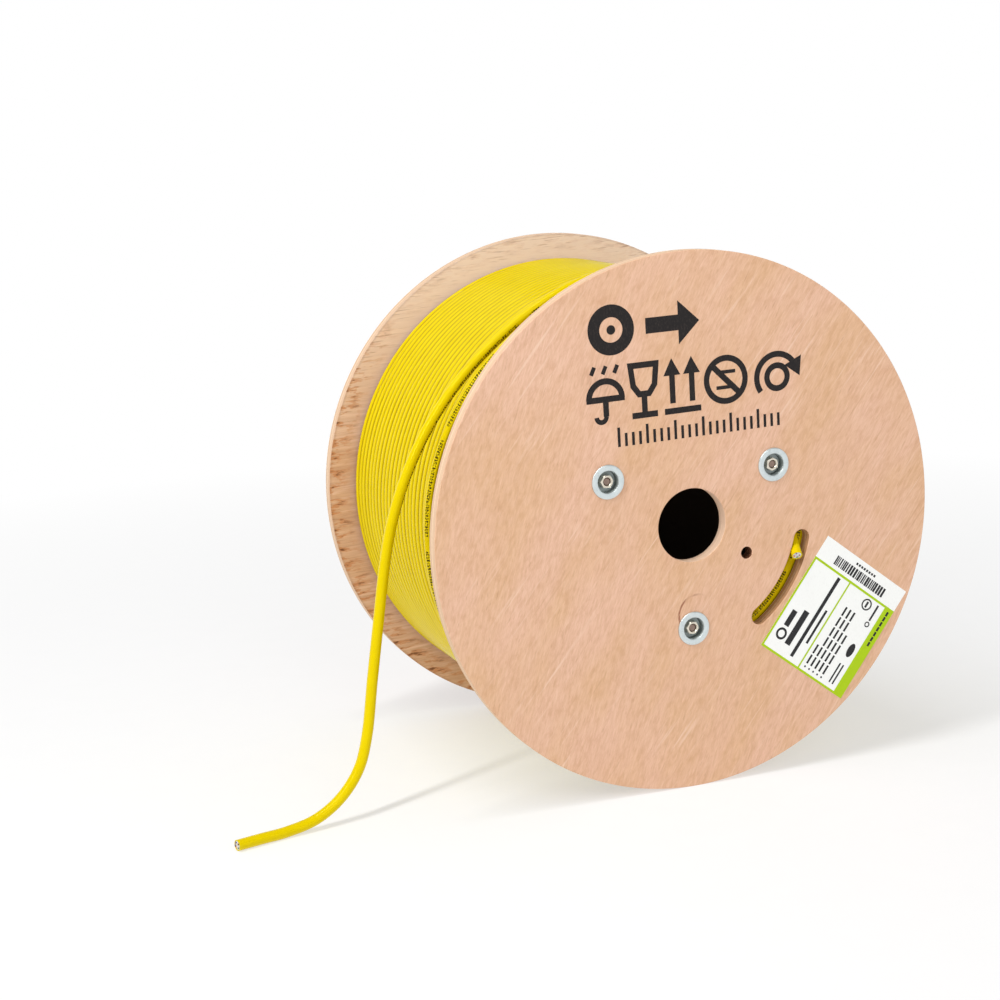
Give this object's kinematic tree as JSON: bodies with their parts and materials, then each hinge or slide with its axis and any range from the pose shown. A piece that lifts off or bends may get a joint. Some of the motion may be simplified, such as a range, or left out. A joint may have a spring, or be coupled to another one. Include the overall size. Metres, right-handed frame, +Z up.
{
  "type": "network cable reel",
  "caption": "Open plywood reel filled with round network cable, with a fibre drum, through tie rods, a spindle hole and a loose cable end.",
  "frame": {"origin": "on the floor under the middle of the reel, halfway between the flanges", "axes": "+Z up, +Y along the reel's axis towards the rear flange, -Y out of the front flange with the slot and the label, +X to the right seen from the front"},
  "size_m": [0.4856, 0.238, 0.3555],
  "materials": {
    "plywood": "sawn and sanded veneer, unsealed",
    "fibreboard": "spirally wound board, matt",
    "zinc": "bright zinc plate",
    "jacket": "extruded cable jacket, satin",
    "label_paper": "coated paper sticker, printed"
  },
  "bodies": {
    "root": {"front_flange": "plywood", "rear_flange": "plywood", "drum_tube": "fibreboard", "cable_winding": "jacket", "cable_top_turns": "jacket", "cable_inner_end": "jacket", "cable_tail": "jacket", "shipping_label": "label_paper", "tie_rod_1": "zinc", "front_cup_washer_1": "zinc", "front_hex_nut_1": "zinc", "rear_cup_washer_1": "zinc", "rear_hex_nut_1": "zinc", "tie_rod_2": "zinc", "front_cup_washer_2": "zinc", "front_hex_nut_2": "zinc", "rear_cup_washer_2": "zinc", "rear_hex_nut_2": "zinc", "tie_rod_3": "zinc", "front_cup_washer_3": "zinc", "front_hex_nut_3": "zinc", "rear_cup_washer_3": "zinc", "rear_hex_nut_3": "zinc"}
  },
  "joints": []
}
